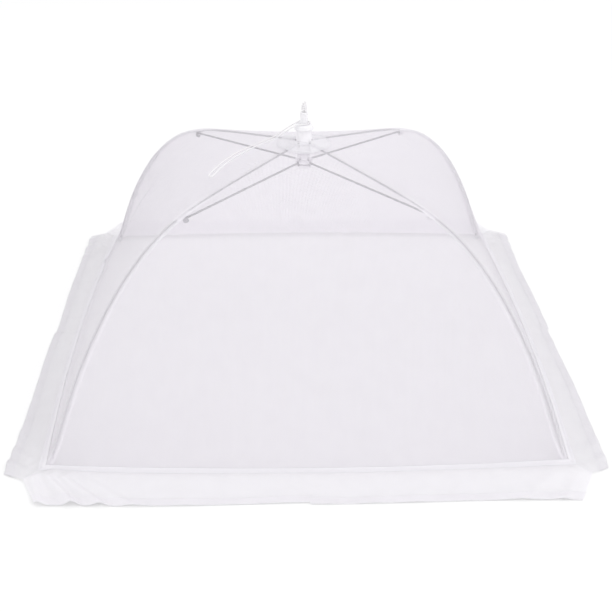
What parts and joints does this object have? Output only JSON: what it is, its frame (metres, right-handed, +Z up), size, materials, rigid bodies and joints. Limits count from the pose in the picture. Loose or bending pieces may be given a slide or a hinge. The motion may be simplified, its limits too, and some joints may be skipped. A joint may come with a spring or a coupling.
{
  "type": "mesh food cover umbrella",
  "caption": "Square pop-up mesh food cover with sprung wire ribs, a sliding runner with stretchers and a pull cord.",
  "frame": {"origin": "on the table below the hub, at the centre of the square base", "axes": "+Z up, front panel towards -Y, left panel towards -X"},
  "size_m": [0.504, 0.534, 0.2425],
  "materials": {
    "white_plastic": "satin",
    "steel_wire": "satin",
    "white_mesh": "matte",
    "white_tape": "matte",
    "white_cord": "matte"
  },
  "bodies": {
    "hub": {"hub_tube": "white_plastic", "hub_cap": "white_plastic", "rib_ring": "steel_wire", "crown_patch": "white_tape", "lift_cord": "white_cord", "cord_knot": "white_cord", "pull_cord": "white_cord"},
    "runner": {"runner": "white_plastic", "stretcher_ring": "steel_wire"},
    "rib_back_right": {"rib_back_right": "steel_wire", "rib_clip_back_right": "white_plastic", "rib_sleeve_back_right": "white_tape", "rib_foot_back_right": "white_plastic"},
    "stretcher_back_right": {"stretcher_back_right": "steel_wire", "rivet_back_right": "steel_wire"},
    "rib_back_left": {"rib_back_left": "steel_wire", "rib_clip_back_left": "white_plastic", "rib_sleeve_back_left": "white_tape", "rib_foot_back_left": "white_plastic"},
    "stretcher_back_left": {"stretcher_back_left": "steel_wire", "rivet_back_left": "steel_wire"},
    "rib_front_left": {"rib_front_left": "steel_wire", "rib_clip_front_left": "white_plastic", "rib_sleeve_front_left": "white_tape", "rib_foot_front_left": "white_plastic"},
    "stretcher_front_left": {"stretcher_front_left": "steel_wire", "rivet_front_left": "steel_wire"},
    "rib_front_right": {"rib_front_right": "steel_wire", "rib_clip_front_right": "white_plastic", "rib_sleeve_front_right": "white_tape", "rib_foot_front_right": "white_plastic"},
    "stretcher_front_right": {"stretcher_front_right": "steel_wire", "rivet_front_right": "steel_wire"},
    "panel_right_b": {"mesh_right_b": "white_mesh", "skirt_right_b": "white_mesh"},
    "panel_right_f": {"mesh_right_f": "white_mesh", "skirt_right_f": "white_mesh"},
    "panel_back_l": {"mesh_back_l": "white_mesh", "skirt_back_l": "white_mesh"},
    "panel_back_r": {"mesh_back_r": "white_mesh", "skirt_back_r": "white_mesh"},
    "panel_left_f": {"mesh_left_f": "white_mesh", "skirt_left_f": "white_mesh"},
    "panel_left_b": {"mesh_left_b": "white_mesh", "skirt_left_b": "white_mesh"},
    "panel_front_r": {"mesh_front_r": "white_mesh", "skirt_front_r": "white_mesh"},
    "panel_front_l": {"mesh_front_l": "white_mesh", "skirt_front_l": "white_mesh"}
  },
  "joints": [
    {"name": "runner_slide", "type": "slide", "parent": "hub", "child": "runner", "axis": [0, 0, 1], "range_m": [-0.2407, 0], "deforming": ["lift_cord"]},
    {"name": "rib_back_right_hinge", "type": "hinge", "parent": "hub", "child": "rib_back_right", "pos_m": [0.00424, 0.00424, 0.2034], "axis": [-0.7071, 0.7071, 0], "range_deg": [0, 54]},
    {"name": "stretcher_back_right_hinge", "type": "hinge", "parent": "runner", "child": "stretcher_back_right", "pos_m": [0.00424, 0.00424, 0.1846], "axis": [-0.7071, 0.7071, 0], "range_deg": [-69.11, 0]},
    {"name": "rib_back_left_hinge", "type": "hinge", "parent": "hub", "child": "rib_back_left", "pos_m": [-0.00424, 0.00424, 0.2034], "axis": [-0.7071, -0.7071, 0], "range_deg": [0, 54]},
    {"name": "stretcher_back_left_hinge", "type": "hinge", "parent": "runner", "child": "stretcher_back_left", "pos_m": [-0.00424, 0.00424, 0.1846], "axis": [-0.7071, -0.7071, 0], "range_deg": [-69.11, 0]},
    {"name": "rib_front_left_hinge", "type": "hinge", "parent": "hub", "child": "rib_front_left", "pos_m": [-0.00424, -0.00424, 0.2034], "axis": [0.7071, -0.7071, 0], "range_deg": [0, 54]},
    {"name": "stretcher_front_left_hinge", "type": "hinge", "parent": "runner", "child": "stretcher_front_left", "pos_m": [-0.00424, -0.00424, 0.1846], "axis": [0.7071, -0.7071, 0], "range_deg": [-69.11, 0]},
    {"name": "rib_front_right_hinge", "type": "hinge", "parent": "hub", "child": "rib_front_right", "pos_m": [0.00424, -0.00424, 0.2034], "axis": [0.7071, 0.7071, 0], "range_deg": [0, 54]},
    {"name": "stretcher_front_right_hinge", "type": "hinge", "parent": "runner", "child": "stretcher_front_right", "pos_m": [0.00424, -0.00424, 0.1846], "axis": [0.7071, 0.7071, 0], "range_deg": [-69.11, 0]},
    {"name": "panel_right_b_fold", "type": "hinge", "parent": "rib_back_right", "child": "panel_right_b", "pos_m": [0.00424, 0.00424, 0.2034], "axis": [0.8477, -0.517, 0.1191], "range_deg": [0, 44.05], "deforming": ["mesh_right_b", "skirt_right_b"]},
    {"name": "panel_right_f_fold", "type": "hinge", "parent": "rib_front_right", "child": "panel_right_f", "pos_m": [0.00424, -0.00424, 0.2034], "axis": [-0.8477, -0.517, -0.1191], "range_deg": [0, 44.05], "deforming": ["mesh_right_f", "skirt_right_f"]},
    {"name": "panel_back_l_fold", "type": "hinge", "parent": "rib_back_left", "child": "panel_back_l", "pos_m": [-0.00424, 0.00424, 0.2034], "axis": [0.517, 0.8477, 0.1191], "range_deg": [0, 44.05], "deforming": ["mesh_back_l", "skirt_back_l"]},
    {"name": "panel_back_r_fold", "type": "hinge", "parent": "rib_back_right", "child": "panel_back_r", "pos_m": [0.00424, 0.00424, 0.2034], "axis": [0.517, -0.8477, -0.1191], "range_deg": [0, 44.05], "deforming": ["mesh_back_r", "skirt_back_r"]},
    {"name": "panel_left_f_fold", "type": "hinge", "parent": "rib_front_left", "child": "panel_left_f", "pos_m": [-0.00424, -0.00424, 0.2034], "axis": [-0.8477, 0.517, 0.1191], "range_deg": [0, 44.05], "deforming": ["mesh_left_f", "skirt_left_f"]},
    {"name": "panel_left_b_fold", "type": "hinge", "parent": "rib_back_left", "child": "panel_left_b", "pos_m": [-0.00424, 0.00424, 0.2034], "axis": [0.8477, 0.517, -0.1191], "range_deg": [0, 44.05], "deforming": ["mesh_left_b", "skirt_left_b"]},
    {"name": "panel_front_r_fold", "type": "hinge", "parent": "rib_front_right", "child": "panel_front_r", "pos_m": [0.00424, -0.00424, 0.2034], "axis": [-0.517, -0.8477, 0.1191], "range_deg": [0, 44.05], "deforming": ["mesh_front_r", "skirt_front_r"]},
    {"name": "panel_front_l_fold", "type": "hinge", "parent": "rib_front_left", "child": "panel_front_l", "pos_m": [-0.00424, -0.00424, 0.2034], "axis": [-0.517, 0.8477, -0.1191], "range_deg": [0, 44.05], "deforming": ["mesh_front_l", "skirt_front_l"]}
  ],
  "couplings": [
    {"joint": "rib_back_right_hinge", "follows": "runner_slide", "rad_per_m": -3.9156},
    {"joint": "stretcher_back_right_hinge", "follows": "runner_slide", "rad_per_m": 5.0111},
    {"joint": "rib_back_left_hinge", "follows": "runner_slide", "rad_per_m": -3.9156},
    {"joint": "stretcher_back_left_hinge", "follows": "runner_slide", "rad_per_m": 5.0111},
    {"joint": "rib_front_left_hinge", "follows": "runner_slide", "rad_per_m": -3.9156},
    {"joint": "stretcher_front_left_hinge", "follows": "runner_slide", "rad_per_m": 5.0111},
    {"joint": "rib_front_right_hinge", "follows": "runner_slide", "rad_per_m": -3.9156},
    {"joint": "stretcher_front_right_hinge", "follows": "runner_slide", "rad_per_m": 5.0111},
    {"joint": "panel_right_b_fold", "follows": "runner_slide", "rad_per_m": -3.1943},
    {"joint": "panel_right_f_fold", "follows": "runner_slide", "rad_per_m": -3.1943},
    {"joint": "panel_back_l_fold", "follows": "runner_slide", "rad_per_m": -3.1943},
    {"joint": "panel_back_r_fold", "follows": "runner_slide", "rad_per_m": -3.1943},
    {"joint": "panel_left_f_fold", "follows": "runner_slide", "rad_per_m": -3.1943},
    {"joint": "panel_left_b_fold", "follows": "runner_slide", "rad_per_m": -3.1943},
    {"joint": "panel_front_r_fold", "follows": "runner_slide", "rad_per_m": -3.1943},
    {"joint": "panel_front_l_fold", "follows": "runner_slide", "rad_per_m": -3.1943}
  ]
}
